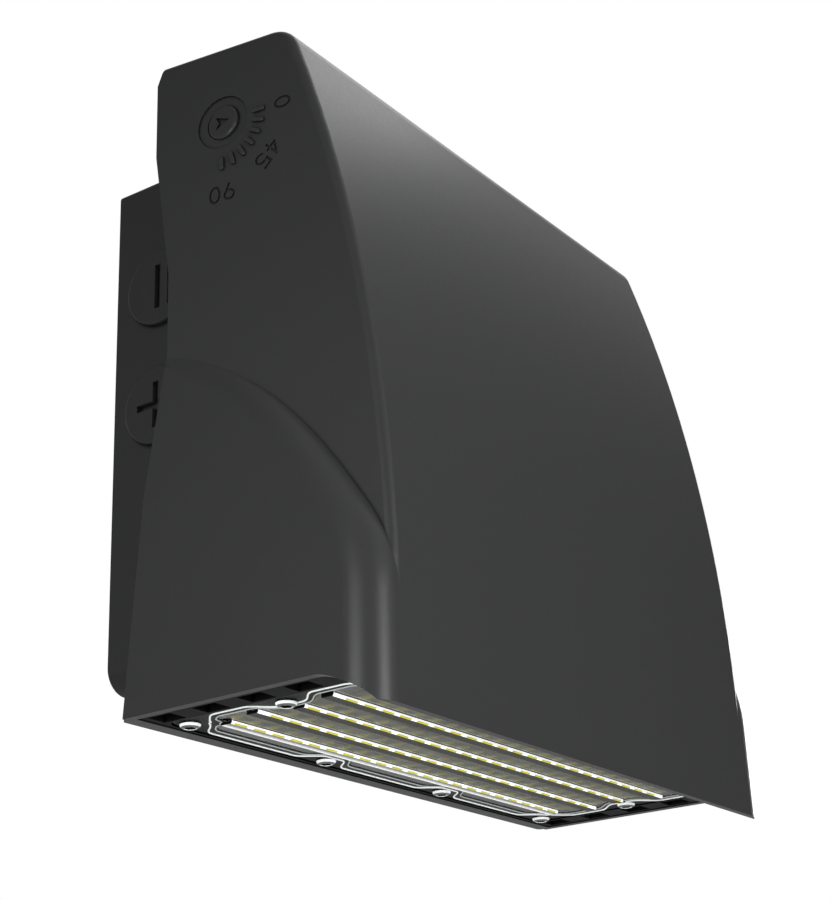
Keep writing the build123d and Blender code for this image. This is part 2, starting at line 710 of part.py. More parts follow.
def light_tray():
    body = slab((-TRAY_HALF, TRAY_HALF), (TRAY_FRONT, TRAY_BACK), (TRAY_BORDER, TRAY_TOP))
    front = [e for e in body.edges().filter_by(Axis.Z) if e.center().Y < ROW_MID]
    body = fillet(front, TRAY_ROUND) - lens_seat()
    half_x = BOARD_HALF_X + BOARD_MARGIN
    half_y = BOARD_HALF_Y + BOARD_MARGIN
    body = body - slab(
        (-half_x, half_x), (ROW_MID - half_y, ROW_MID + half_y), (-FAR, BOARD_FLOOR)
    )
    for x, y in lens_screw_places():
        body = body + rod_z(SCREW_BOSS, TRAY_BOTTOM, TRAY_TOP, x, y)
    for x, y in lens_screw_places():
        body = body - rod_z(LENS_SCREW, -FAR, TRAY_TOP - LENS_SCREW_FLOOR, x, y)
    for side in (-1, 1):
        for i in range(POCKET_COUNT):
            y = ROW_MID + POCKET_SHIFT + POCKET_PITCH * (i - (POCKET_COUNT - 1) / 2)
            pocket = Box(POCKET_WIDTH, POCKET_LENGTH, 2 * (TRAY_TOP - POCKET_FLOOR - TRAY_BORDER))
            body = body - Pos(side * POCKET_X, y, TRAY_BORDER) * pocket
        x = side * TRAY_LUG_X
        body = body - rod_z(M4 + SCREW_CLEAR, -FAR, 0, x, TRAY_LUG_Y)
        body = body - rod_z(M4_HEAD + HEAD_CLEAR, -FAR, TRAY_SCREW_SEAT, x, TRAY_LUG_Y)
    return on_axis(body)


def tray_screws():
    screws = []
    for side in (-1, 1):
        screw = pan_screw(POST_BORE - TOUCH, M4_HEAD, M4_HEAD_THICK, M4_LENGTH)
        place = Pos(side * TRAY_LUG_X, TRAY_LUG_Y, TRAY_SCREW_SEAT)
        screws.append(place * Rot(180, 0, 0) * screw)
    return on_axis(grouped(screws))


def clear_of_screws(shape, bore):
    for x, y in lens_screw_places():
        shape = shape - rod_z(bore, -FAR, 0, x, y)
    return shape


def board_slab(z_from, z_to):
    """Plate over the rows of the board, cut clear of the screw bosses."""
    plate = slab(
        (-BOARD_HALF_X, BOARD_HALF_X),
        (ROW_MID - BOARD_HALF_Y, ROW_MID + BOARD_HALF_Y),
        (z_from, z_to),
    )
    return clear_of_screws(plate, SCREW_BOSS + BOSS_CLEAR)


def led_board():
    board = board_slab(BOARD_FLOOR - BOARD, BOARD_FLOOR)
    for side in (-1, 1):
        board = board - rod_z(M4_HEAD + HEAD_CLEAR, -FAR, 0, side * TRAY_LUG_X, TRAY_LUG_Y)
    return on_axis(board)


def led_chips():
    chips = []
    z = BOARD_FLOOR - BOARD - CHIP_THICK / 2
    for y in row_positions():
        for i in range(CHIPS_PER_ROW):
            x = CHIP_PITCH * (i - (CHIPS_PER_ROW - 1) / 2)
            chips.append(Pos(x, y, z) * Box(CHIP_LENGTH, CHIP_WIDTH, CHIP_THICK))
    return on_axis(grouped(chips))


def reflector():
    top = BOARD_FLOOR - BOARD
    plate = board_slab(top - REFLECTOR, top)
    half = REFLECTOR_SLOT / 2
    reach = OPTIC_HALF_X - OPTIC_SHORT
    for y in row_positions():
        plate = plate - slab((-reach, reach), (y - half, y + half), (-FAR, 0))
    return on_axis(plate)


def lens_outline(inset):
    half_x = LENS_HALF_X - inset
    half_y = LENS_HALF_Y - inset
    return Pos(0, ROW_MID) * RectangleRounded(2 * half_x, 2 * half_y, LENS_ROUND)


def lens_gasket():
    ring = lens_outline(0) - lens_outline(GASKET_WIDTH)
    tabs = []
    for x, y in lens_screw_places():
        tabs.append(Pos(x, y) * Circle(LENS_SCREW_HEAD / 2 + GASKET_TAB))
    ring = joined([ring] + tabs) & lens_outline(0)
    band = extrude(Pos(0, 0, LENS_TOP) * ring, GASKET)
    return on_axis(clear_of_screws(band, LENS_SCREW_BORE))


def lens():
    plate = extrude(Pos(0, 0, LENS_FACE) * lens_outline(0), LENS)
    for i, y in enumerate(row_positions()):
        half = OPTIC_HALF_X - OPTIC_SHORT if i % 2 == 0 else OPTIC_HALF_X
        bar = slab(
            (-half, half),
            (y - OPTIC_WIDTH / 2, y + OPTIC_WIDTH / 2),
            (LENS_FACE - OPTIC_RISE, LENS_FACE + LENS / 2),
        )
        plate = plate + fillet(bar.faces().sort_by(Axis.Z)[0].edges(), OPTIC_ROUND)
    return on_axis(clear_of_screws(plate, LENS_SCREW_BORE))


def lens_screws():
    screws = []
    for x, y in lens_screw_places():
        screw = pan_screw(
            LENS_SCREW - TOUCH, LENS_SCREW_HEAD, LENS_SCREW_HEAD_THICK, LENS_SCREW_LENGTH
        )
        screws.append(Pos(x, y, LENS_FACE) * Rot(180, 0, 0) * screw)
    return on_axis(grouped(screws))


def driver_foot_x(side):
    return side * (DRIVER_LENGTH + DRIVER_FOOT) / 2


def driver():
    face = REAR_BACK - TOUCH
    can = slab(
        (-DRIVER_LENGTH / 2, DRIVER_LENGTH / 2),
        (face - DRIVER_DEPTH, face),
        (DRIVER_Z - DRIVER_HEIGHT / 2, DRIVER_Z + DRIVER_HEIGHT / 2),
    )
    can = fillet(can.edges().filter_by(Axis.X), DRIVER_EDGE)
    for side in (-1, 1):
        x = driver_foot_x(side)
        foot = Box(DRIVER_FOOT + DRIVER_EDGE, DRIVER_FOOT_THICK, DRIVER_HEIGHT / 2)
        can = can + Pos(x, face - DRIVER_FOOT_THICK / 2, DRIVER_Z) * foot
        can = can - rod_y(M4 + SCREW_CLEAR, -FAR, FAR, x, DRIVER_Z)
    return on_axis(can)


def driver_screws():
    screws = []
    seat = REAR_BACK - TOUCH - DRIVER_FOOT_THICK
    for side in (-1, 1):
        screw = pan_screw(POST_BORE, M4_HEAD, M4_HEAD_THICK, DRIVER_FOOT_THICK)
        screws.append(Pos(driver_foot_x(side), seat, DRIVER_Z) * Rot(90, 0, 0) * screw)
    return on_axis(grouped(screws))


def box_outline(inset):
    """Front view of the back box: tight top corners, full bottom corners."""
    plate = Rectangle(BOX_WIDTH - 2 * inset, BOX_HEIGHT - 2 * inset)
    top = plate.vertices().sort_by(Axis.Y)[-2:]
    plate = fillet(top, BOX_TOP_ROUND)
    bottom = plate.vertices().sort_by(Axis.Y)[:2]
    return fillet(bottom, BOX_BOTTOM_ROUND - inset / 2)


def box_slab(inset, y_back, y_front):
    """Solid of the box outline between two depths in front of the wall."""
    return Pos(0, -y_back, 0) * extrude(Plane.XZ * box_outline(inset), y_front - y_back)


def arm_post_places():
    top = BOX_HEIGHT / 2 - ARM_POST_DROP
    return [(s * POST_X, z) for s in (-1, 1) for z in (top, top - ARM_POST_STEP)]


def foot_post_places():
    return [(s * POST_X, -BOX_HEIGHT / 2 + FOOT_POST_RISE) for s in (-1, 1)]


def plug_places():
    return [(s, z) for s in (-1, 1) for z in (PLUG_UPPER, PLUG_LOWER)]


def seal_band(play, y_back, y_front):
    """Band round the back of the box: the groove, or with play the seal in it."""
    outer = box_slab(WALL_SEAL_INSET + play, y_back, y_front)
    return outer - box_slab(WALL_SEAL_INSET + WALL_SEAL_WIDTH - play, y_back, y_front)


def back_box():
    body = box_slab(0, 0, BOX_DEPTH) - box_slab(BOX_WALL, BOX_WALL, 2 * BOX_DEPTH)
    body = body - seal_band(0, -WALL_SEAL, WALL_SEAL)
    inner = BOX_WIDTH / 2 - BOX_WALL
    for side, z in plug_places():
        boss_end = side * (inner - CONDUIT_BOSS_LENGTH)
        outer = side * (inner + BOX_WALL / 2)
        body = body + rod_x(CONDUIT_BOSS, boss_end, outer, -PLUG_SETBACK, z)
    posts = arm_post_places() + foot_post_places()
    for x, z in posts:
        body = body + rod_y(POST, -BOX_WALL / 2, -BOX_DEPTH, x, z)
    for side, z in plug_places():
        body = body - rod_x(CONDUIT_BORE, side * POST_X, side * FAR, -PLUG_SETBACK, z)
    for x, z in posts:
        body = body - rod_y(POST_BORE, -BOX_DEPTH + M4_LENGTH, -FAR, x, z)
    holes = [(WIRE_HOLE, 0, 0), (POST_BORE, GROUND_X, GROUND_Z)]
    for side in (-1, 1):
        reach = side * JUNCTION_PITCH / 2
        holes += [(JUNCTION_BORE, reach, 0), (JUNCTION_BORE, 0, reach)]
        x = side * ANCHOR_X / 2
        holes += [(ANCHOR_BORE, x, -ANCHOR_Z / 2), (ANCHOR_BORE, x, ANCHOR_Z / 2)]
    for bore, x, z in holes:
        body = body - rod_y(bore, FAR, -BOX_WALL - TOUCH, x, z)
    return body


def wall_seal():
    return seal_band(TOUCH, 0, WALL_SEAL - TOUCH)


def cover_seal():
    ring = box_slab(0, BOX_DEPTH, BOX_DEPTH + SEAL)
    return ring - box_slab(SEAL_WIDTH, BOX_DEPTH - SEAL, BOX_DEPTH + 2 * SEAL)


def box_cover():
    cover = box_slab(0, BOX_DEPTH + SEAL, BOX_DEPTH + SEAL + COVER)
    for x, z in arm_post_places() + foot_post_places():
        cover = cover - rod_y(M4 + SCREW_CLEAR, -FAR, FAR, x, z)
    return cover - rod_y(GROMMET_BORE, -FAR, FAR, GROMMET_X, AXIS_HEIGHT + HEAD_POST_HIGH)


def cover_screws():
    screws = []
    for x, z in foot_post_places():
        screw = pan_screw(POST_BORE - TOUCH, M4_HEAD, M4_HEAD_THICK, M4_LENGTH)
        screws.append(Pos(x, COVER_FACE, z) * Rot(90, 0, 0) * screw)
    return grouped(screws)


def tilt_arm(side):
    """Arm from the box cover to the axis, with the journal the head turns on."""
    outline = Polyline(
        (-ARM_END, 0),
        (-ARM_END / 3, ARM_LOW),
        (FOOT_FACE, ARM_LOW),
        (FOOT_FACE, -ARM_NECK),
        (ARM_NECK, ARM_NECK),
        (0, ARM_END / 2),
        close=True,
    )
    web = make_face(outline) + Circle(ARM_END)
    arm = Pos(ARM_INNER, 0, 0) * extrude(Plane.YZ * web, ARM_THICK)
    foot = slab(
        (ARM_FACE - ARM_FOOT_WIDTH, ARM_FACE),
        (FOOT_FACE - ARM_FOOT, FOOT_FACE),
        (ARM_LOW, -ARM_NECK),
    )
    shoulder = rod_x(ARM_SHOULDER, ARM_INNER, PIVOT_PAD_FACE - WASHER - WASHER_PLAY, 0, 0)
    journal = rod_x(PIVOT_JOURNAL, ARM_INNER, JOURNAL_FACE, 0, 0)
    arm = arm + foot + shoulder + journal
    arm = arm - rod_x(CAP_SHANK, 0, FAR, 0, 0)
    for x, z in arm_post_places():
        arm = arm - rod_y(M4 + SCREW_CLEAR, -FAR, FAR, x, z - AXIS_HEIGHT)
    arm = arm if side > 0 else mirrored(arm)
    return on_axis(arm)


def arm_screws():
    screws = []
    face = COVER_FACE - ARM_FOOT
    for x, z in arm_post_places():
        screw = pan_screw(POST_BORE - TOUCH, M4_HEAD, M4_HEAD_THICK, M4_LENGTH + ARM_FOOT)
        screws.append(Pos(x, face, z) * Rot(90, 0, 0) * screw)
    return grouped(screws)


def friction_washer(side):
    ring = Circle(WASHER_OUTER / 2) - Circle(PIVOT_JOURNAL / 2 + TOUCH)
    ring = extrude(Plane.YZ * ring, WASHER)
    start = PIVOT_PAD_FACE - WASHER - WASHER_PLAY
    return on_axis(Pos(side * start if side > 0 else side * (start + WASHER), 0, 0) * ring)


def pivot_cap(side):
    """Screwed cap on the journal; its arrow points forward to the scale."""
    head = rod_x(PIVOT_JOURNAL, JOURNAL_FACE, JOURNAL_FACE + CAP_THICK, 0, 0)
    head = fillet(head.faces().sort_by(Axis.X)[-1].edges(), CAP_EDGE)
    inner = JOURNAL_FACE - CAP_SHANK_LENGTH
    shank = rod_x(CAP_SHANK - TOUCH, inner, JOURNAL_FACE + CAP_BEDDED, 0, 0)
    tail = [(ARROW_TAIL, ARROW_HALF), (ARROW_NOTCH, 0), (ARROW_TAIL, -ARROW_HALF)]
    dart = Polyline((-ARROW_TIP, 0), *tail, close=True)
    mark = extrude(Plane.YZ * make_face(dart), 2 * ARROW_DEPTH)
    cap = head + shank - Pos(JOURNAL_FACE + CAP_THICK - ARROW_DEPTH, 0, 0) * mark
    cap = cap if side > 0 else mirrored(cap)
    return on_axis(cap)


def conduit_plug(side, z, crossed):
    """Threaded plug closing a side entry, with its driving slots outside."""
    face = BOX_WIDTH / 2
    head = rod_x(PLUG_HEAD, face, face + PLUG_PROUD, -PLUG_SETBACK, z)
    head = fillet(head.faces().sort_by(Axis.X)[-1].edges(), PLUG_EDGE)
    shank_end = face - PLUG_SHANK_LENGTH
    plug = head + rod_x(PLUG_SHANK, shank_end, face + PLUG_EDGE, -PLUG_SETBACK, z)
    outer = face + PLUG_PROUD
    plug = plug - Pos(outer, -PLUG_SETBACK, z) * Box(2 * SLOT_DEPTH, SLOT_WIDTH, SLOT_LENGTH)
    if crossed:
        plug = plug - Pos(outer, -PLUG_SETBACK, z) * Box(2 * SLOT_DEPTH, SLOT_LENGTH, SLOT_WIDTH)
    else:
        finger = SlotOverall(FINGER_LENGTH, FINGER_WIDTH, rotation=90)
        finger = extrude(Plane.YZ * finger, 2 * SLOT_DEPTH)
        plug = plug - Pos(outer - SLOT_DEPTH, -PLUG_SETBACK - FINGER_AHEAD, z) * finger
    return plug if side > 0 else mirrored(plug)


def terminal_block():
    face = -BOX_WALL - BLOCK_DEPTH
    body = slab(
        (BLOCK_X - BLOCK_LENGTH / 2, BLOCK_X + BLOCK_LENGTH / 2),
        (face, -BOX_WALL),
        (BLOCK_Z - BLOCK_HEIGHT / 2, BLOCK_Z + BLOCK_HEIGHT / 2),
    )
    pitch = BLOCK_LENGTH / BLOCK_WAYS
    for i in range(BLOCK_WAYS):
        x = BLOCK_X + pitch * (i - (BLOCK_WAYS - 1) / 2)
        y = face + BLOCK_DEPTH / 2
        body = body - rod_z(BLOCK_WIRE, -FAR, BLOCK_Z - BLOCK_HEIGHT / 4, x, y)
        body = body - rod_y(BLOCK_SCREW, -FAR, face + BLOCK_WELL, x, BLOCK_Z + BLOCK_SCREW_RISE)
    return body


def ground_screw():
    screw = pan_screw(POST_BORE - TOUCH, GROUND_HEAD, M4_HEAD_THICK, BOX_WALL)
    return Pos(GROUND_X, -BOX_WALL, GROUND_Z) * Rot(90, 0, 0) * screw


def main():
    os.makedirs("parts", exist_ok=True)
    nodes = {
        "back_box": back_box(),
        "wall_seal": wall_seal(),
        "cover_seal": cover_seal(),
        "box_cover": box_cover(),
        "cover_screws": cover_screws(),
        "tilt_arm_left": tilt_arm(-1),
        "tilt_arm_right": tilt_arm(1),
        "arm_screws": arm_screws(),
        "friction_washer_left": friction_washer(-1),
        "friction_washer_right": friction_washer(1),
        "pivot_bush_left": pivot_bush(-1),
        "pivot_bush_right": pivot_bush(1),
        "pivot_cap_left": pivot_cap(-1),
        "pivot_cap_right": pivot_cap(1),
        "slot_plug_left": conduit_plug(-1, PLUG_UPPER, False),
        "slot_plug_right": conduit_plug(1, PLUG_UPPER, False),
        "cross_plug_left": conduit_plug(-1, PLUG_LOWER, True),
        "cross_plug_right": conduit_plug(1, PLUG_LOWER, True),
        "terminal_block": terminal_block(),
        "ground_screw": ground_screw(),
        "box_grommet": box_grommet(),
        "head_shell": head_shell(),
        "rear_cover": rear_cover(),
        "rear_cover_screws": rear_cover_screws(),
        "head_grommet": head_grommet(),
        "light_tray": light_tray(),
        "tray_screws": tray_screws(),
        "led_board": led_board(),
        "led_chips": led_chips(),
        "reflector": reflector(),
        "lens_gasket": lens_gasket(),
        "lens": lens(),
        "lens_screws": lens_screws(),
        "driver": driver(),
        "driver_screws": driver_screws(),
    }
    for name, shape in nodes.items():
        export_step(shape, f"parts/{name}.step")
        size = shape.bounding_box().size
        print(f"{name}: {size.X:.1f} x {size.Y:.1f} x {size.Z:.1f}, {len(shape.solids())} solids")


main()
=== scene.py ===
import math

import bmesh
import bpy
from mathutils import Matrix, Vector


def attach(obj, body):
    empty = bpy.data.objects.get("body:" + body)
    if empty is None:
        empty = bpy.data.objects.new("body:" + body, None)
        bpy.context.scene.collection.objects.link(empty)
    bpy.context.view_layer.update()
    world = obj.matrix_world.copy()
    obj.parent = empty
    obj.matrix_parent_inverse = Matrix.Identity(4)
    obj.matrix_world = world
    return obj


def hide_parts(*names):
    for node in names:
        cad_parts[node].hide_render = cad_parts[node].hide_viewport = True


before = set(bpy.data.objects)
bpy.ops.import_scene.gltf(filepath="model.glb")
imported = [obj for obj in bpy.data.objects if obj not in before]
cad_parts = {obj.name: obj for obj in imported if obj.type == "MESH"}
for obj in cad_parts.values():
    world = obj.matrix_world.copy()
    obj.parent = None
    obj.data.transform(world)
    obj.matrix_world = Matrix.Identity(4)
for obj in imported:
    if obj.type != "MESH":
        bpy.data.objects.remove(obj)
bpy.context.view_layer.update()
scene = bpy.context.scene
MM = 0.001

# ------------------------------------------------------------------ camera
# The photograph's view: from the front left and below, looking up at the light.
CAMERA_PLACE = (-0.51767, -0.40335, -0.24312)
CAMERA_YAW = 55.32
CAMERA_PITCH = 22.32
CAMERA_ROLL = -2.16
FOCAL_PIXELS = 1883.41
PICTURE_HEIGHT = 900.0
SENSOR = 36.0


def make_camera():
    yaw, pitch, roll = (math.radians(a) for a in (CAMERA_YAW, CAMERA_PITCH, CAMERA_ROLL))
    ahead = Vector((
        math.sin(yaw) * math.cos(pitch), math.cos(yaw) * math.cos(pitch), math.sin(pitch)
    ))
    level = Vector((math.cos(yaw), -math.sin(yaw), 0))
    above = level.cross(ahead)
    right = math.cos(roll) * level + math.sin(roll) * above
    up = -math.sin(roll) * level + math.cos(roll) * above
    data = bpy.data.cameras.new("camera")
    data.sensor_width = SENSOR
    data.sensor_fit = "AUTO"
    data.lens = SENSOR * FOCAL_PIXELS / PICTURE_HEIGHT
    data.clip_start = 0.01
    camera = bpy.data.objects.new("camera", data)
    turn = Matrix((right, up, -ahead)).transposed().to_4x4()
    camera.matrix_world = Matrix.Translation(CAMERA_PLACE) @ turn
    scene.collection.objects.link(camera)
    scene.camera = camera


make_camera()


# ------------------------------------------------------------------ materials
def new_material(name):
    material = bpy.data.materials.new(name)
    material.use_nodes = True
    tree = material.node_tree
    tree.nodes.clear()
    out = tree.nodes.new("ShaderNodeOutputMaterial")
    shader = tree.nodes.new("ShaderNodeBsdfPrincipled")
    tree.links.new(shader.outputs["BSDF"], out.inputs["Surface"])
    return material, tree, shader, out


def place(tree):
    """Object coordinates: the same metres as the frame, so grain has its real size."""
    return tree.nodes.new("ShaderNodeTexCoord").outputs["Object"]


def noise(tree, scale, detail=3.0, rough=0.5, stretch=None):
    """Noise with about `scale` features per metre."""
    source = place(tree)
    if stretch is not None:
        mapping = tree.nodes.new("ShaderNodeMapping")
        mapping.inputs["Scale"].default_value = stretch
        tree.links.new(source, mapping.inputs["Vector"])
        source = mapping.outputs["Vector"]
    node = tree.nodes.new("ShaderNodeTexNoise")
    node.inputs["Scale"].default_value = scale
    node.inputs["Detail"].default_value = detail
    node.inputs["Roughness"].default_value = rough
    tree.links.new(source, node.inputs["Vector"])
    return node.outputs["Fac"]


def spread(tree, value, low, high, start=0.3, end=0.7):
    """Map a noise value to a range."""
    node = tree.nodes.new("ShaderNodeMapRange")
    node.inputs["From Min"].default_value = start
    node.inputs["From Max"].default_value = end
    node.inputs["To Min"].default_value = low
    node.inputs["To Max"].default_value = high
    tree.links.new(value, node.inputs["Value"])
    return node.outputs["Result"]


def mix_colour(tree, factor, one, two):
    node = tree.nodes.new("ShaderNodeMix")
    node.data_type = "RGBA"
    if isinstance(factor, float):
        node.inputs["Factor"].default_value = factor
    else:
        tree.links.new(factor, node.inputs["Factor"])
    for value, socket in ((one, "A"), (two, "B")):
        target = [s for s in node.inputs if s.name == socket and s.type == "RGBA"][0]
        if isinstance(value, tuple):
            target.default_value = (*value, 1.0)
        else:
            tree.links.new(value, target)
    return [s for s in node.outputs if s.type == "RGBA"][0]


def bump(tree, height, strength, distance, normal=None):
    node = tree.nodes.new("ShaderNodeBump")
    node.inputs["Strength"].default_value = strength
    node.inputs["Distance"].default_value = distance
    tree.links.new(height, node.inputs["Height"])
    if normal is not None:
        tree.links.new(normal, node.inputs["Normal"])
    return node.outputs["Normal"]


def edge_mask(tree, radius):
    """About 1 at edges and 0 on open faces, with the rounded normal that goes with it."""
    bevel = tree.nodes.new("ShaderNodeBevel")
    bevel.samples = 4
    bevel.inputs["Radius"].default_value = radius
    geometry = tree.nodes.new("ShaderNodeNewGeometry")
    dot = tree.nodes.new("ShaderNodeVectorMath")
    dot.operation = "DOT_PRODUCT"
    tree.links.new(bevel.outputs["Normal"], dot.inputs[0])
    tree.links.new(geometry.outputs["Normal"], dot.inputs[1])
    return spread(tree, dot.outputs["Value"], 1.0, 0.0, 0.86, 0.995), bevel.outputs["Normal"]


def hollows(tree, reach):
    """0 on open faces, up to 1 in grooves and engraved marks; the coat paints shade there by it."""
    open_sky = tree.nodes.new("ShaderNodeAmbientOcclusion")
    open_sky.samples = 8
    open_sky.inputs["Distance"].default_value = reach
    return spread(tree, open_sky.outputs["AO"], 1.0, 0.0, 0.55, 0.95)


def coat(name, colour, worn, rough, grain=0.2, edge=0.0005, specular=0.3):
    """Powder coat: very fine grain, rubbed a little paler along edges, with painted shade in
    grooves.
    """
    material, tree, shader, _ = new_material(name)
    speck = spread(tree, noise(tree, 2600.0, 2.0, 0.6), 0.0, 0.10, 0.5, 0.8)
    base = mix_colour(tree, speck, colour, worn)
    mask, normal = edge_mask(tree, edge)
    rub = tree.nodes.new("ShaderNodeMath")
    rub.operation = "MULTIPLY"
    tree.links.new(mask, rub.inputs[0])
    tree.links.new(spread(tree, noise(tree, 160.0, 4.0, 0.7), 0.0, 0.35, 0.42, 0.75), rub.inputs[1])
    base = mix_colour(tree, rub.outputs["Value"], base, worn)
    hollow = hollows(tree, 0.0016)
    # painted shade: the base colour darkens to a tenth in grooves and engraved marks
    base = mix_colour(tree, hollow, base, tuple(c * 0.1 for c in colour))
    tree.links.new(base, shader.inputs["Base Color"])
    uneven = spread(tree, noise(tree, 700.0, 2.0), rough - 0.02, rough + 0.02)
    dusty = tree.nodes.new("ShaderNodeMath")
    dusty.operation = "MULTIPLY_ADD"
    dusty.inputs[1].default_value = 0.5
    tree.links.new(hollow, dusty.inputs[0])
    tree.links.new(uneven, dusty.inputs[2])
    tree.links.new(dusty.outputs["Value"], shader.inputs["Roughness"])
    fine = bump(tree, noise(tree, 1500.0, 3.0, 0.55), grain, 0.00003, normal)
    tree.links.new(fine, shader.inputs["Normal"])
    shader.inputs["Specular IOR Level"].default_value = specular
    return material


def metal(name, colour, rough, brushed=None):
    material, tree, shader, _ = new_material(name)
    drift = spread(tree, noise(tree, 60.0, 3.0), 0.0, 1.0)
    base = mix_colour(tree, drift, tuple(c * 0.88 for c in colour), colour)
    tree.links.new(base, shader.inputs["Base Color"])
    shader.inputs["Metallic"].default_value = 1.0
    lines = noise(tree, 900.0, 3.0, 0.6, brushed)
    tree.links.new(spread(tree, lines, rough - 0.05, rough + 0.08), shader.inputs["Roughness"])
    _, normal = edge_mask(tree, 0.0002)
    tree.links.new(bump(tree, lines, 0.12, 0.00003, normal), shader.inputs["Normal"])
    return material


def plastic(name, colour, rough, grain=0.2, scale=900.0, specular=0.5, painted_glow=0.0):
    """Moulded plastic; its last argument paints light into it: emission in its own colour, though
    the part is no lamp.
    """
    material, tree, shader, _ = new_material(name)
    drift = spread(tree, noise(tree, 80.0, 3.0), 0.0, 1.0)
    base = mix_colour(tree, drift, tuple(c * 0.92 for c in colour), colour)
    tree.links.new(base, shader.inputs["Base Color"])
    tree.links.new(
        spread(tree, noise(tree, 300.0, 2.0), rough - 0.04, rough + 0.04), shader.inputs["Roughness"]
    )
    _, normal = edge_mask(tree, 0.0002)
    grained = bump(tree, noise(tree, scale, 3.0), grain, 0.00003, normal)
    tree.links.new(grained, shader.inputs["Normal"])
    shader.inputs["Specular IOR Level"].default_value = specular
    # painted light: the base colour also glows, standing in for light and reflections the part
    # doesn't get
    if painted_glow > 0.0:
        tree.links.new(base, shader.inputs["Emission Color"])
        shader.inputs["Emission Strength"].default_value = painted_glow
    return material


def clear(name, tint):
    """Clear moulded sheet: see-through, with gloss that grows towards grazing angles."""
    material, tree, shader, out = new_material(name)
    tree.nodes.remove(shader)
    through = tree.nodes.new("ShaderNodeBsdfTransparent")
    through.inputs["Color"].default_value = (*tint, 1.0)
    shine = tree.nodes.new("ShaderNodeBsdfGlossy")
    shine.inputs["Color"].default_value = (1.0, 1.0, 1.0, 1.0)
    tree.links.new(spread(tree, noise(tree, 120.0, 2.0), 0.02, 0.06), shine.inputs["Roughness"])
    fresnel = tree.nodes.new("ShaderNodeFresnel")
    fresnel.inputs["IOR"].default_value = SHEET_IOR
    ripple = bump(tree, noise(tree, 260.0, 2.0), 0.05, 0.0001)
    tree.links.new(ripple, shine.inputs["Normal"])
    blend = tree.nodes.new("ShaderNodeMixShader")
    tree.links.new(fresnel.outputs["Fac"], blend.inputs["Fac"])
    tree.links.new(through.outputs["BSDF"], blend.inputs[1])
    tree.links.new(shine.outputs["BSDF"], blend.inputs[2])
    tree.links.new(blend.outputs["Shader"], out.inputs["Surface"])
    return material


SHEET_IOR = 1.45
COAT = (0.019, 0.0193, 0.0197)
RUBBED = (0.07, 0.07, 0.07)
coat_head = coat("coat_head", COAT, RUBBED, 0.34, 0.15, 0.00012, 0.13)
# painted shade: the box, arms and plugs get the head's coat colour darkened to 0.8 as if in shadow
coat_box_painted_shade = coat("coat_box_painted_shade", tuple(c * 0.8 for c in COAT), RUBBED, 0.42, 0.15, 0.00012, 0.1)
coat_plate = coat("coat_plate", COAT, RUBBED, 0.45, specular=0.12)
coat_tray = coat("coat_tray", (0.006, 0.006, 0.0065), (0.03, 0.03, 0.03), 0.5, 0.2, 0.0003, 0.03)
rubber = plastic("rubber_seal", (0.02, 0.02, 0.021), 0.75, 0.4, 700.0)
foam = plastic("foam_seal", (0.035, 0.035, 0.036), 0.9, 1.0, 1400.0, 0.2)
zinc_black = metal("zinc_black", (0.09, 0.09, 0.095), 0.4)
stainless = metal("stainless", (0.72, 0.72, 0.73), 0.18)
# Board, chips and reflector carry painted light: a faint glow in their own colour.
board_olive = plastic("board_olive", (0.60, 0.61, 0.50), 0.45, painted_glow=0.10)
phosphor = plastic("phosphor", (0.62, 0.58, 0.14), 0.4, 0.3, 4000.0, painted_glow=0.16)
satin_grey = plastic("satin_grey", (0.45, 0.46, 0.40), 0.3, 0.1, painted_glow=0.05)
driver_skin = metal("driver_skin", (0.62, 0.63, 0.65), 0.35, (1.0, 30.0, 30.0))
block_white = plastic("block_white", (0.8, 0.79, 0.75), 0.5, 0.3)
ground_green = metal("ground_green", (0.06, 0.3, 0.1), 0.35)
lens_clear = clear("lens_clear", (0.93, 0.95, 0.95))

NODE_MATERIALS = {
    "back_box": coat_box_painted_shade, "wall_seal": foam, "cover_seal": rubber, "box_cover": coat_plate,
    "cover_screws": zinc_black, "tilt_arm_left": coat_box_painted_shade, "tilt_arm_right": coat_box_painted_shade,
    "pivot_bush_left": coat_head, "pivot_bush_right": coat_head, "arm_screws": zinc_black,
    "friction_washer_left": rubber, "friction_washer_right": rubber,
    "pivot_cap_left": coat_head, "pivot_cap_right": coat_head, "slot_plug_left": coat_box_painted_shade,
    "slot_plug_right": coat_box_painted_shade, "cross_plug_left": coat_box_painted_shade, "cross_plug_right": coat_box_painted_shade,
    "terminal_block": block_white, "ground_screw": ground_green, "box_grommet": rubber,
    "head_shell": coat_head, "rear_cover": coat_plate, "rear_cover_screws": zinc_black,
    "head_grommet": rubber, "light_tray": coat_tray, "tray_screws": zinc_black,
    "led_board": board_olive, "led_chips": phosphor, "reflector": satin_grey,
    "lens_gasket": rubber, "lens": lens_clear, "lens_screws": stainless,
    "driver": driver_skin, "driver_screws": zinc_black,
}


def dress_nodes():
    for name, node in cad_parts.items():
        slots = node.data.materials
        if len(slots) == 0:
            slots.append(NODE_MATERIALS[name])
        for i in range(len(slots)):
            slots[i] = NODE_MATERIALS[name]


dress_nodes()


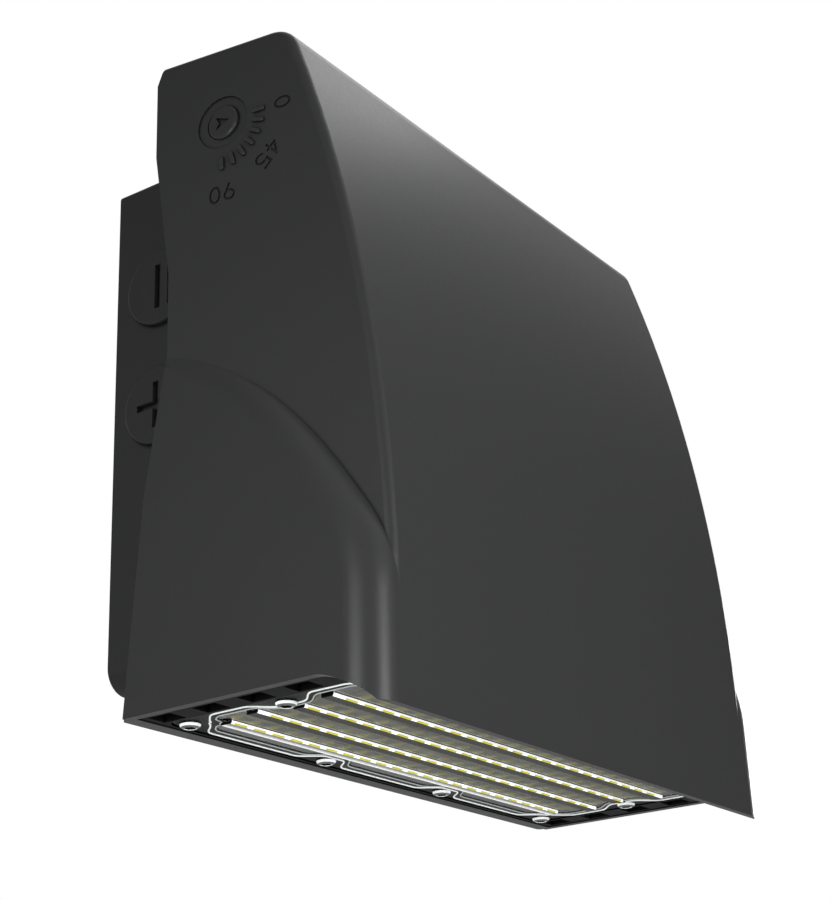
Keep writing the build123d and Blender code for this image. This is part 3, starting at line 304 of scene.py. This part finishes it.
# ------------------------------------------------------------------ light opening
# Places in the tray are in millimetres from the tilt axis, as the casting is drawn.
AXIS = (0.0, -52.0, 94.0)
SHEET_HALF_X = 105.5
SHEET_HALF_Y = 41.95
SHEET_FACE = -194.7
SHEET_THICK = 2.4
SHEET_ROUND = 5.0
SHEET_BORE = 3.6
ROWS = 5
ROW_PITCH = 14.1
ROW_MID = -12.8
ROW_HALF = 98.5
ROW_SHORTER = 4.5           # the first, third and fifth bar end this much earlier
SCREW_X = 100.0
SCREW_Y = 37.4
SCREW_COLUMNS = 4
SCREW_HEAD = 6.6
SCREW_HEAD_HIGH = 1.8
SCREW_RECESS = 1.75         # across the flats of the socket, halved
SCREW_SHANK = 3.16
SCREW_LENGTH = 7.0

BAR_FRONT = 2.2             # front face ahead of the row
BAR_RISE = 1.0
BAR_BACK = 2.3
BAR_FOOT = 0.04             # the foot of a bar, proud of the sheet
LINE_FROM = 1.45            # pale line ahead of a bar
LINE_TO = 1.15
DASH_LENGTH = 6.0
DASH_PITCH = 8.952
BEAD_INSET = 1.35           # outer bead from the edge of the sheet
BEAD_ROUND_SCREW = 8.2
INNER_INSET = 4.4
INNER_ROUND_SCREW = 10.5
BEAD_HALF = 0.3
JOG_FLAT = 3.0
JOG_END = 14.0


def at(x, y, z):
    return Vector(((x + AXIS[0]) * MM, (y + AXIS[1]) * MM, (z + AXIS[2]) * MM))


def new_piece(name, mesh, materials, replaces=None):
    """Put a mesh in the scene as a piece of the tilting head."""
    piece = bpy.data.objects.new(name, mesh)
    scene.collection.objects.link(piece)
    for material in materials:
        mesh.materials.append(material)
    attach(piece, "head")
    if replaces:
        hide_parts(replaces)


def screw_places():
    columns = [SCREW_X * (2 * i / (SCREW_COLUMNS - 1) - 1) for i in range(SCREW_COLUMNS)]
    places = [(x, ROW_MID + side * SCREW_Y) for x in columns for side in (-1, 1)]
    return places + [(-SCREW_X, ROW_MID), (SCREW_X, ROW_MID)]


def row_places():
    return [ROW_MID + ROW_PITCH * (i - (ROWS - 1) / 2) for i in range(ROWS)]


def row_half(i):
    return ROW_HALF - ROW_SHORTER if i % 2 == 0 else ROW_HALF


def rounded_loop(half_x, half_y, radius, steps=8):
    """Points of a rounded rectangle round the middle of the tray, in order."""
    loop = []
    corners = ((1, 1, 0), (-1, 1, 90), (-1, -1, 180), (1, -1, 270))
    for sx, sy, start in corners:
        for i in range(steps + 1):
            a = math.radians(start + 90 * i / steps)
            x = sx * (half_x - radius) + radius * math.cos(a)
            y = sy * (half_y - radius) + radius * math.sin(a)
            loop.append((x, y + ROW_MID))
    return loop


def jog(distance):
    """1 beside a screw, 0 away from it, with a soft step between."""
    t = min(1.0, max(0.0, (abs(distance) - JOG_FLAT) / (JOG_END - JOG_FLAT)))
    return 1.0 - t * t * t * (t * (6.0 * t - 15.0) + 10.0)


def jog_side(low, high, screws, base, deep, step=0.7):
    """Inset along one side, from low to high, drawn inwards beside each screw."""
    count = int((high - low) / step)
    points = []
    for i in range(count + 1):
        t = low + (high - low) * i / count
        points.append((t, base + (deep - base) * max(jog(t - s) for s in screws)))
    return points


def jog_loop(base, deep, radius=3.0, steps=6):
    """Closed line at an inset from the sheet's edge that passes inside the screws."""
    columns = sorted({x for x, _ in screw_places()})
    rows = (-SCREW_Y, 0.0, SCREW_Y)
    in_x = SHEET_HALF_X - deep - radius
    in_y = SHEET_HALF_Y - deep - radius
    long_side = jog_side(-in_x, in_x, columns, base, deep)
    short_side = jog_side(-in_y, in_y, rows, base, deep)
    turn = [math.radians(90 * i / steps) for i in range(1, steps)]
    loop = [(t, SHEET_HALF_Y - d) for t, d in reversed(long_side)]
    loop += [(-in_x - radius * math.sin(a), in_y + radius * math.cos(a)) for a in turn]
    loop += [(-(SHEET_HALF_X - d), t) for t, d in reversed(short_side)]
    loop += [(-in_x - radius * math.cos(a), -in_y - radius * math.sin(a)) for a in turn]
    loop += [(t, -(SHEET_HALF_Y - d)) for t, d in long_side]
    loop += [(in_x + radius * math.sin(a), -in_y - radius * math.cos(a)) for a in turn]
    loop += [(SHEET_HALF_X - d, t) for t, d in short_side]
    loop += [(in_x + radius * math.cos(a), in_y + radius * math.sin(a)) for a in turn]
    return [(x, y + ROW_MID) for x, y in loop]


def flat_mesh(name, loops, z, thick):
    """Plate between closed outlines: the first is its edge, the others are holes."""
    curve = bpy.data.curves.new(name, "CURVE")
    curve.dimensions = "2D"
    curve.fill_mode = "BOTH"
    curve.extrude = thick * MM / 2
    for loop in loops:
        spline = curve.splines.new("POLY")
        spline.points.add(len(loop) - 1)
        for point, (x, y) in zip(spline.points, loop):
            spot = at(x, y, 0)
            point.co = (spot.x, spot.y, 0.0, 1.0)
        spline.use_cyclic_u = True
    holder = bpy.data.objects.new(name, curve)
    mesh = bpy.data.meshes.new_from_object(holder)
    bpy.data.objects.remove(holder)
    mesh.transform(Matrix.Translation((0, 0, at(0, 0, z).z)))
    mesh.name = name
    return mesh


def circle(x, y, radius, steps=24):
    turn = [2 * math.pi * i / steps for i in range(steps)]
    return [(x + radius * math.cos(a), y + radius * math.sin(a)) for a in turn]


def make_sheet():
    """The clear lens as one flat sheet with a hole for each screw."""
    loops = [rounded_loop(SHEET_HALF_X, SHEET_HALF_Y, SHEET_ROUND)]
    loops += [circle(x, y, SHEET_BORE / 2) for x, y in screw_places()]
    mesh = flat_mesh("lens_sheet", loops, SHEET_FACE + SHEET_THICK / 2, SHEET_THICK)
    new_piece("lens_sheet", mesh, [lens_clear], "lens")


def make_border():
    """Finely ribbed dark band of the sheet between its edge and the bars."""
    loops = [rounded_loop(SHEET_HALF_X - 0.2, SHEET_HALF_Y - 0.2, SHEET_ROUND)]
    loops.append(jog_loop(INNER_INSET + 1.0, INNER_ROUND_SCREW + 0.8))
    loops += [circle(x, y, SHEET_BORE / 2) for x, y in screw_places()]
    mesh = flat_mesh("lens_border", loops, SHEET_FACE - 0.08, 0.1)
    new_piece("lens_border", mesh, [border_dark])


def make_bead(name, base, deep, half, material, drop):
    """Moulded line on the sheet that runs round inside the screws."""
    curve = bpy.data.curves.new(name, "CURVE")
    curve.dimensions = "3D"
    curve.bevel_depth = half * MM
    curve.bevel_resolution = 3
    loop = jog_loop(base, deep)
    spline = curve.splines.new("POLY")
    spline.points.add(len(loop) - 1)
    for point, (x, y) in zip(spline.points, loop):
        point.co = (*at(x, y, SHEET_FACE - drop), 1.0)
    spline.use_cyclic_u = True
    holder = bpy.data.objects.new(name, curve)
    mesh = bpy.data.meshes.new_from_object(holder)
    bpy.data.objects.remove(holder)
    mesh.name = name
    for face in mesh.polygons:
        face.use_smooth = True
    new_piece(name, mesh, [material])


def bar_profile():
    """Cross-section of a bar and its side lines: place ahead of or behind the row, depth, finish."""
    front = -BAR_FRONT
    return [
        (front - LINE_FROM, BAR_FOOT, "light"),
        (front - LINE_TO, BAR_FOOT, "dark"),
        (front - 0.05, BAR_FOOT, "painted_white_reflection"),
        (front + 0.05, BAR_RISE - 0.45, "dash"),
        (front + 0.20, BAR_RISE - 0.06, "dash"),
        (front + 0.55, BAR_RISE, "ribbed"),
        (BAR_BACK - 0.3, BAR_RISE, "dark"),
        (BAR_BACK, BAR_RISE - 0.3, "dark"),
        (BAR_BACK, BAR_FOOT, "haze"),
        (ROW_PITCH + front - LINE_FROM, BAR_FOOT, None),
    ]


def bar_cuts(half):
    """Places along a bar where the finish changes, and whether each stretch has a dash."""
    cuts = [-half]
    dashed = []
    count = int(half / DASH_PITCH)
    for i in range(-count, count + 1):
        middle = i * DASH_PITCH
        low, high = middle - DASH_LENGTH / 2, middle + DASH_LENGTH / 2
        if low <= -half + 0.5 or high >= half - 0.5:
            continue
        cuts += [low, high]
        dashed += [False, True]
    cuts.append(half)
    dashed.append(False)
    return cuts, dashed


FINISHES = ("painted_white_reflection", "dash", "ribbed", "dark", "light", "glow", "haze")


def add_bar(build, row, half, last):
    """One bar with its side lines; the last one has a painted glow and no haze behind it."""
    profile = bar_profile()
    cuts, dashed = bar_cuts(half)
    rings = []
    for x in cuts:
        rings.append(
            [build.verts.new(at(x, row + y, SHEET_FACE - depth)) for y, depth, _ in profile]
        )
    for i, is_dash in enumerate(dashed):
        for j, (_, _, finish) in enumerate(profile[:-1]):
            if last and finish == "haze":
                continue
            one, two = rings[i], rings[i + 1]
            face = build.faces.new((one[j], two[j], two[j + 1], one[j + 1]))
            # outside the dashes the front strip carries the painted reflection
            if finish == "dash" and not is_dash:
                finish = "painted_white_reflection"
            if last and finish == "ribbed":
                finish = "glow"
            face.material_index = FINISHES.index(finish)
    for ring in (rings[0], rings[-1]):
        face = build.faces.new(ring[2:-1])
        face.material_index = FINISHES.index("dark")


def make_bars():
    build = bmesh.new()
    places = row_places()
    for i, row in enumerate(places):
        add_bar(build, row, row_half(i), i == len(places) - 1)
    bmesh.ops.recalc_face_normals(build, faces=build.faces)
    mesh = bpy.data.meshes.new("optic_bars")
    build.to_mesh(mesh)
    build.free()
    finishes = [bar_painted_reflection, bar_dash, bar_ribbed, bar_dark, bar_light, bar_glow, bar_haze]
    new_piece("optic_bars", mesh, finishes)


def hex_radius(flat, angle):
    """Distance to the side of a hexagon with this half width across its flats."""
    part = (angle % (math.pi / 3)) - math.pi / 6
    return flat / math.cos(part)


def make_screws():
    """Pan heads with a rounded edge and a six-sided socket."""
    steps = 48
    half = SCREW_HEAD / 2
    top = SCREW_HEAD_HIGH
    profile = [
        (SCREW_SHANK / 2, -SCREW_LENGTH + 0.4, None), (SCREW_SHANK / 2, 0.0, None),
        (half, 0.0, None), (half, 0.55, None), (half * 0.97, 0.95, None),
        (half * 0.88, 1.35, None), (half * 0.74, 1.65, None), (half * 0.62, top, None),
        (0.0, top, SCREW_RECESS + 0.15), (0.0, top - 0.15, SCREW_RECESS),
        (0.0, top - 1.3, SCREW_RECESS), (0.0, top - 1.35, SCREW_RECESS * 0.3),
    ]
    build = bmesh.new()
    for x, y in screw_places():
        rings = []
        for radius, depth, flat in profile:
            ring = []
            for i in range(steps):
                a = 2 * math.pi * i / steps
                r = radius if flat is None else hex_radius(flat, a)
                ring.append(build.verts.new(at(
                    x + r * math.cos(a), y + r * math.sin(a), SHEET_FACE - depth
                )))
            rings.append(ring)
        for j, (one, two) in enumerate(zip(rings, rings[1:])):
            for i in range(steps):
                k = (i + 1) % steps
                face = build.faces.new((one[i], one[k], two[k], two[i]))
                face.smooth = j < 7
                # index 2 puts the painted highlight on the head's rounded edge and the socket's rim;
                # index 1 puts painted shade inside the socket
                face.material_index = 1 if j >= 9 else (2 if j in (3, 4, 8) else 0)
        build.faces.new(rings[0])
        floor = build.faces.new(rings[-1])
        floor.material_index = 1
    bmesh.ops.recalc_face_normals(build, faces=build.faces)
    mesh = bpy.data.meshes.new("lens_screw_heads")
    build.to_mesh(mesh)
    build.free()
    finishes = [head_dark, socket_painted_shade, painted_highlight_white]
    new_piece("lens_screw_heads", mesh, finishes, "lens_screws")


def ribbed(name, colour, rough, pitch, strength, specular=0.5):
    """Dark moulded face with fine ribs across the length of the light."""
    material, tree, shader, _ = new_material(name)
    wave = tree.nodes.new("ShaderNodeTexWave")
    wave.bands_direction = "X"
    wave.inputs["Scale"].default_value = 1.0 / (pitch * MM * 3.1831)
    wave.inputs["Distortion"].default_value = 0.6
    wave.inputs["Detail"].default_value = 1.0
    tree.links.new(place(tree), wave.inputs["Vector"])
    lines = spread(tree, wave.outputs["Fac"], 0.0, 1.0, 0.35, 0.65)
    base = mix_colour(tree, lines, tuple(c * 0.45 for c in colour), colour)
    tree.links.new(base, shader.inputs["Base Color"])
    rough_at = spread(tree, noise(tree, 500.0, 2.0), rough - 0.04, rough + 0.04)
    tree.links.new(rough_at, shader.inputs["Roughness"])
    tree.links.new(bump(tree, wave.outputs["Fac"], strength, 0.0002), shader.inputs["Normal"])
    shader.inputs["Specular IOR Level"].default_value = specular
    return material


def painted_light_band(name):
    """Clear bar with painted light: its colour and glow grow from dark to white towards its back
    edge.
    """
    material, tree, shader, _ = new_material(name)
    split = tree.nodes.new("ShaderNodeSeparateXYZ")
    tree.links.new(place(tree), split.inputs["Vector"])
    start = at(0, row_places()[-1] - BAR_FRONT + 1.6, 0).y
    end = at(0, row_places()[-1] + BAR_BACK, 0).y
    across = spread(tree, split.outputs["Y"], 0.0, 1.0, start, end)
    base = mix_colour(tree, across, (0.10, 0.11, 0.10), (0.85, 0.87, 0.86))
    tree.links.new(base, shader.inputs["Base Color"])
    tree.links.new(base, shader.inputs["Emission Color"])
    shader.inputs["Emission Strength"].default_value = 0.6
    tree.links.new(spread(tree, noise(tree, 600.0, 2.0), 0.2, 0.3), shader.inputs["Roughness"])
    return material


def haze(name):
    """Clear sheet between the bars, in which the LEDs show as soft yellow spots, with painted light:
    it glows in its own colour.
    """
    material, tree, shader, _ = new_material(name)
    spots = None
    centre = at(0, ROW_MID - BAR_FRONT - 6.3, 0).y / MM
    for way, pitch, offset in (("X", DASH_PITCH, 0.0), ("Y", ROW_PITCH, centre)):
        wave = tree.nodes.new("ShaderNodeTexWave")
        wave.bands_direction = way
        wave.inputs["Scale"].default_value = 0.314159 / (pitch * MM)
        wave.inputs["Phase Offset"].default_value = math.pi / 2 - 2 * math.pi * offset / pitch
        wave.inputs["Distortion"].default_value = 0.4
        wave.inputs["Detail"].default_value = 1.0
        tree.links.new(place(tree), wave.inputs["Vector"])
        if spots is None:
            spots = wave.outputs["Fac"]
            continue
        both = tree.nodes.new("ShaderNodeMath")
        both.operation = "MULTIPLY"
        tree.links.new(spots, both.inputs[0])
        tree.links.new(wave.outputs["Fac"], both.inputs[1])
        spots = both.outputs["Value"]
    streaks = spread(tree, noise(tree, 60.0, 3.0, 0.6, (0.5, 4.0, 1.0)), 0.0, 1.0, 0.35, 0.65)
    ground = mix_colour(tree, streaks, (0.035, 0.036, 0.028), (0.11, 0.113, 0.09))
    base = mix_colour(tree, spread(tree, spots, 0.0, 0.8, 0.45, 0.75), ground, (0.19, 0.175, 0.05))
    tree.links.new(base, shader.inputs["Base Color"])
    # painted light: the sheet glows in its own colour
    tree.links.new(base, shader.inputs["Emission Color"])
    shader.inputs["Emission Strength"].default_value = 0.3
    shader.inputs["Alpha"].default_value = 0.75
    shader.inputs["Specular IOR Level"].default_value = 0.15
    tree.links.new(spread(tree, noise(tree, 300.0, 2.0), 0.15, 0.25), shader.inputs["Roughness"])
    return material


bar_haze = haze("bar_haze")
# painted reflection: a glowing white strip along each bar's front, for the white studio the bars
# mirror
bar_painted_reflection = plastic("bar_painted_reflection", (0.88, 0.91, 0.90), 0.2, painted_glow=0.8)
# painted light: the yellow dashes and the pale line ahead of each bar glow in their own colour
bar_dash = plastic("bar_dash", (0.66, 0.60, 0.04), 0.35, 0.2, 2000.0, painted_glow=0.35)
bar_ribbed = ribbed("bar_ribbed", (0.05, 0.053, 0.04), 0.4, 1.0, 0.3, 0.06)
bar_dark = plastic("bar_dark", (0.005, 0.0055, 0.005), 0.4, specular=0.05)
bar_light = plastic("bar_light", (0.3, 0.31, 0.28), 0.3, painted_glow=0.15)
bar_glow = painted_light_band("bar_glow")
border_dark = ribbed("border_dark", (0.012, 0.013, 0.012), 0.35, 1.0, 0.5, 0.04)
# painted shade: the inside of each screw socket is near-black
socket_painted_shade = metal("socket_painted_shade", (0.02, 0.02, 0.021), 0.4)
# painted highlight: the outer bead and the screw heads' rounded edges are white and glow; the inner
# bead's grey glows too
painted_highlight_white = plastic("painted_highlight_white", (0.80, 0.83, 0.82), 0.15, painted_glow=0.35)
bead_grey = plastic("bead_grey", (0.42, 0.45, 0.44), 0.2, painted_glow=0.2)
head_dark = metal("head_dark", (0.16, 0.165, 0.17), 0.25)

make_sheet()
make_border()
make_bead("lens_bead_outer", BEAD_INSET, BEAD_ROUND_SCREW, BEAD_HALF, painted_highlight_white, 0.25)
make_bead("lens_bead_inner", INNER_INSET, INNER_ROUND_SCREW, BEAD_HALF * 0.8, bead_grey, 0.2)
make_bars()
make_screws()


# ------------------------------------------------------------------ floor, light
# Soft darker parts of the studio that gloss shows: azimuth, height, reach and depth.
STUDIO_SHADES = (
    (337.0, 18.0, 36.0, 0.85),
    (235.0, 15.0, 48.0, 0.90),
    (130.0, 48.0, 50.0, 0.75),
)
WORLD_LIGHT = 0.26          # what matt faces get from all round
FLOOR_HALF = 3.0
FLOOR_HEIGHT = -0.42
FLOOR_GLOW = 0.62
MIDDLE = (0.0, -0.06, 0.0)  # the soft lamps look at this


def studio_shade(tree):
    """White, less the darker parts of the studio."""
    ahead = tree.nodes.new("ShaderNodeTexCoord").outputs["Generated"]
    level = None
    for azimuth, height, reach, depth in STUDIO_SHADES:
        a, e = math.radians(azimuth), math.radians(height)
        dot = tree.nodes.new("ShaderNodeVectorMath")
        dot.operation = "DOT_PRODUCT"
        tree.links.new(ahead, dot.inputs[0])
        dot.inputs[1].default_value = (
            math.cos(a) * math.cos(e), math.sin(a) * math.cos(e), math.sin(e)
        )
        fade = tree.nodes.new("ShaderNodeMapRange")
        fade.interpolation_type = "SMOOTHSTEP"
        fade.inputs["From Min"].default_value = math.cos(math.radians(reach))
        fade.inputs["From Max"].default_value = 1.0
        fade.inputs["To Min"].default_value = 1.0
        fade.inputs["To Max"].default_value = 1.0 - depth
        tree.links.new(dot.outputs["Value"], fade.inputs["Value"])
        if level is None:
            level = fade.outputs["Result"]
            continue
        both = tree.nodes.new("ShaderNodeMath")
        both.operation = "MULTIPLY"
        tree.links.new(level, both.inputs[0])
        tree.links.new(fade.outputs["Result"], both.inputs[1])
        level = both.outputs["Value"]
    return level


def backdrop_world():
    """Even pale light; what the camera and reflections see of it is white."""
    world = bpy.data.worlds.new("studio")
    scene.world = world
    world.use_nodes = True
    tree = world.node_tree
    tree.nodes.clear()
    out = tree.nodes.new("ShaderNodeOutputWorld")
    light = tree.nodes.new("ShaderNodeBackground")
    light.inputs["Color"].default_value = (1.0, 1.0, 1.0, 1.0)
    light.inputs["Strength"].default_value = WORLD_LIGHT
    seen = tree.nodes.new("ShaderNodeBackground")
    seen.inputs["Color"].default_value = (1.0, 1.0, 1.0, 1.0)
    seen.inputs["Strength"].default_value = 1.0
    mirrored = tree.nodes.new("ShaderNodeBackground")
    mirrored.inputs["Color"].default_value = (1.0, 1.0, 1.0, 1.0)
    tree.links.new(studio_shade(tree), mirrored.inputs["Strength"])
    ray = tree.nodes.new("ShaderNodeLightPath")
    shader = light.outputs["Background"]
    steps = (("Is Glossy Ray", mirrored), ("Is Transmission Ray", seen), ("Is Camera Ray", seen))
    for name, background in steps:
        blend = tree.nodes.new("ShaderNodeMixShader")
        tree.links.new(ray.outputs[name], blend.inputs["Fac"])
        tree.links.new(shader, blend.inputs[1])
        tree.links.new(background.outputs["Background"], blend.inputs[2])
        shader = blend.outputs["Shader"]
    tree.links.new(shader, out.inputs["Surface"])


def make_floor():
    """Plain pale floor; the camera sees it a little lighter, and it keeps the shadow."""
    mesh = bpy.data.meshes.new("floor")
    corners = ((-1, -1), (1, -1), (1, 1), (-1, 1))
    mesh.from_pydata(
        [(x * FLOOR_HALF, y * FLOOR_HALF, FLOOR_HEIGHT) for x, y in corners], [], [(0, 1, 2, 3)]
    )
    floor = bpy.data.objects.new("floor", mesh)
    scene.collection.objects.link(floor)
    material, tree, shader, out = new_material("floor_pale")
    shade = mix_colour(tree, noise(tree, 3.0, 2.0), (0.8, 0.8, 0.8), (0.84, 0.84, 0.84))
    tree.links.new(shade, shader.inputs["Base Color"])
    shader.inputs["Roughness"].default_value = 0.9
    shader.inputs["Specular IOR Level"].default_value = 0.0
    pale = tree.nodes.new("ShaderNodeEmission")
    pale.inputs["Color"].default_value = (1.0, 1.0, 1.0, 1.0)
    ray = tree.nodes.new("ShaderNodeLightPath")
    glow = spread(tree, ray.outputs["Is Camera Ray"], 0.0, FLOOR_GLOW, 0.0, 1.0)
    tree.links.new(glow, pale.inputs["Strength"])
    both = tree.nodes.new("ShaderNodeAddShader")
    tree.links.new(shader.outputs["BSDF"], both.inputs[0])
    tree.links.new(pale.outputs["Emission"], both.inputs[1])
    tree.links.new(both.outputs["Shader"], out.inputs["Surface"])
    mesh.materials.append(material)


def area_light(name, place_at, aim, size, power, size_y=None):
    data = bpy.data.lights.new(name, "AREA")
    data.shape = "RECTANGLE"
    data.size = size
    data.size_y = size_y or size
    data.energy = power
    lamp = bpy.data.objects.new(name, data)
    lamp.location = place_at
    direction = Vector(aim) - Vector(place_at)
    lamp.rotation_mode = "QUATERNION"
    lamp.rotation_quaternion = direction.to_track_quat("-Z", "Y")
    scene.collection.objects.link(lamp)


def lamp_at(name, azimuth, height, distance, size, glow):
    """Soft lamp on a sphere round the object, with a given brightness of its face."""
    a, e = math.radians(azimuth), math.radians(height)
    spot = Vector((math.cos(a) * math.cos(e), math.sin(a) * math.cos(e), math.sin(e)))
    power = glow * math.pi * size[0] * size[1]
    area_light(name, Vector(MIDDLE) + distance * spot, MIDDLE, size[0], power, size_y=size[1])


scene.view_settings.view_transform = "Standard"
backdrop_world()
make_floor()
area_light("left", (-0.42, -0.14, -0.09), (-0.11, -0.10, -0.07), 0.18, 1.4)
area_light("front_left", (-0.08, -0.55, -0.07), (-0.09, -0.11, -0.06), 0.22, 3.0)
area_light("right", (0.80, 0.05, 0.05), (0.12, -0.08, 0.0), 0.3, 3.0)
lamp_at("high_right", 345.0, 62.0, 1.5, (0.9, 0.7), 2.6)
lamp_at("behind", 62.0, 24.0, 1.6, (1.0, 0.9), 3.0)
